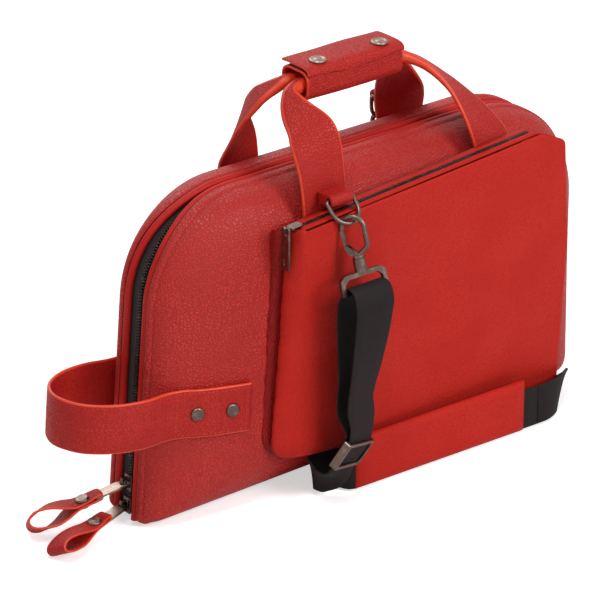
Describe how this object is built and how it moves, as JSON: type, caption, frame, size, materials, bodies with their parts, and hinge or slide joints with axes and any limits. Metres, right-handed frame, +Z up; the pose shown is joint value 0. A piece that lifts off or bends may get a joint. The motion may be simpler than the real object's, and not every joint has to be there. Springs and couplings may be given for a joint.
{
  "type": "zip-around carrying case",
  "caption": "Padded leather carrying case with zip-around half shells, gusseted front pocket, twin carry handles with snap grip, end loop and hooked shoulder strap.",
  "frame": {"origin": "below the hinge line at the middle of the case's length, on the surface that the case stands on", "axes": "+X along the case away from the end handle, +Y from the front pocket to the back, +Z up to the carry grip"},
  "size_m": [0.5626, 0.2057, 0.3678],
  "materials": {
    "red_leather": "satin",
    "dark_nickel": "polished",
    "webbing": "matte",
    "zip_tape": "matte",
    "zip_chain": "satin",
    "foam": "matte",
    "lining": "matte"
  },
  "bodies": {
    "front_half": {"front_shell": "red_leather", "front_padding": "foam", "front_lining": "lining", "hinge_strip": "red_leather", "base_runner": "red_leather", "front_piping": "red_leather", "front_zip_tape": "zip_tape", "front_zip_coil": "zip_chain", "front_handle": "red_leather", "grip_wrap": "red_leather", "snap_studs": "dark_nickel", "end_handle": "red_leather", "front_rivets": "dark_nickel", "pocket_gusset": "red_leather", "pocket_panel": "red_leather", "pocket_zip_tape": "zip_tape", "pocket_zip_coil": "zip_chain", "front_ring_tab": "red_leather", "front_hook_eye": "dark_nickel", "strap_loop": "webbing", "strap_lead": "webbing", "strap_run": "webbing", "strap_tail": "webbing"},
    "back_half": {"back_shell": "red_leather", "back_padding": "foam", "back_lining": "lining", "back_piping": "red_leather", "back_zip_tape": "zip_tape", "back_zip_coil": "zip_chain", "back_handle": "red_leather", "back_rivets": "dark_nickel", "back_ring_tab": "red_leather", "back_hook_eye": "dark_nickel", "strap_back": "webbing"},
    "lower_slider": {"lower_slider": "dark_nickel"},
    "lower_pull": {"lower_pull_tab": "dark_nickel", "lower_pull_leather": "red_leather", "lower_pull_rivet": "dark_nickel"},
    "upper_slider": {"upper_slider": "dark_nickel"},
    "upper_pull": {"upper_pull_tab": "dark_nickel", "upper_pull_leather": "red_leather", "upper_pull_rivet": "dark_nickel"},
    "grip_flap": {"grip_flap": "red_leather", "snap_caps": "dark_nickel"},
    "pocket_slider": {"pocket_slider": "dark_nickel"},
    "front_ring": {"front_ring": "dark_nickel"},
    "back_ring": {"back_ring": "dark_nickel"},
    "front_hook": {"front_hook": "dark_nickel"},
    "back_hook": {"back_hook": "dark_nickel"},
    "front_gate": {"front_hook_gate": "dark_nickel"},
    "back_gate": {"back_hook_gate": "dark_nickel"},
    "strap_buckle": {"strap_buckle": "dark_nickel"},
    "shoulder_pad": {"shoulder_pad": "red_leather"},
    "pocket_pull": {"pocket_pull": "dark_nickel"}
  },
  "joints": [
    {"name": "case_open", "type": "hinge", "parent": "front_half", "child": "back_half", "pos_m": [0, 0, 0.0026], "axis": [-1, 0, 0], "range_deg": [0, 60], "deforming": ["hinge_strip", "end_handle", "grip_wrap", "strap_tail", "strap_back"]},
    {"name": "lower_slider_slide", "type": "slide", "parent": "front_half", "child": "lower_slider", "axis": [0.0872, 0, 0.9962], "range_m": [0, 0.004]},
    {"name": "upper_slider_slide", "type": "slide", "parent": "front_half", "child": "upper_slider", "axis": [0.0872, 0, 0.9962], "range_m": [0, 0.06]},
    {"name": "lower_pull_swing", "type": "hinge", "parent": "lower_slider", "child": "lower_pull", "pos_m": [-0.23729, 0, 0.01311], "axis": [-0.2756, 0.9613, 0], "range_deg": [0, 25]},
    {"name": "upper_pull_swing", "type": "hinge", "parent": "upper_slider", "child": "upper_pull", "pos_m": [-0.23545, 0, 0.03411], "axis": [0.2756, 0.9613, 0], "range_deg": [0, 38]},
    {"name": "grip_flap_open", "type": "hinge", "parent": "front_half", "child": "grip_flap", "pos_m": [-0.003, 0.018, 0.3623], "axis": [-1, 0, 0], "range_deg": [0, 110]},
    {"name": "pocket_slider_slide", "type": "slide", "parent": "front_half", "child": "pocket_slider", "axis": [0.9973, 0, 0.0734], "range_m": [0, 0.005]},
    {"name": "front_ring_swing", "type": "hinge", "parent": "front_half", "child": "front_ring", "pos_m": [-0.067, -0.075, 0.273], "axis": [1, 0, 0], "range_deg": [-2.5, 2.5]},
    {"name": "back_ring_swing", "type": "hinge", "parent": "back_half", "child": "back_ring", "pos_m": [0.102, 0.0718, 0.277], "axis": [1, 0, 0], "range_deg": [-2.5, 2.5]},
    {"name": "front_hook_swivel", "type": "hinge", "parent": "front_half", "child": "front_hook", "pos_m": [-0.067, -0.091, 0.2568], "axis": [0, 0.3171, 0.9484], "range_deg": [-12, 4]},
    {"name": "back_hook_swivel", "type": "hinge", "parent": "back_half", "child": "back_hook", "pos_m": [0.102, 0.0718, 0.2542], "axis": [0, 0, 1], "range_deg": [-8, 4]},
    {"name": "front_gate_swing", "type": "hinge", "parent": "front_hook", "child": "front_gate", "pos_m": [-0.06989, -0.09534, 0.23295], "axis": [-0.766, -0.6096, 0.2038], "range_deg": [-18, 0], "stiffness_Nm_per_rad": 0.02},
    {"name": "back_gate_swing", "type": "hinge", "parent": "back_hook", "child": "back_gate", "pos_m": [0.09911, 0.07525, 0.2302], "axis": [-0.766, -0.6428, 0], "range_deg": [-18, 0], "stiffness_Nm_per_rad": 0.02},
    {"name": "strap_buckle_slide", "type": "slide", "parent": "front_half", "child": "strap_buckle", "axis": [0.4348, -0.2971, 0.8501], "range_m": [-0.0015, 0.0008]},
    {"name": "shoulder_pad_slide", "type": "slide", "parent": "front_half", "child": "shoulder_pad", "axis": [0.9991, -0.0434, 0], "range_m": [0, 0.015]},
    {"name": "pocket_pull_swing", "type": "hinge", "parent": "pocket_slider", "child": "pocket_pull", "pos_m": [-0.11932, -0.071, 0.25832], "axis": [0, 1, 0], "range_deg": [0, 90]}
  ]
}
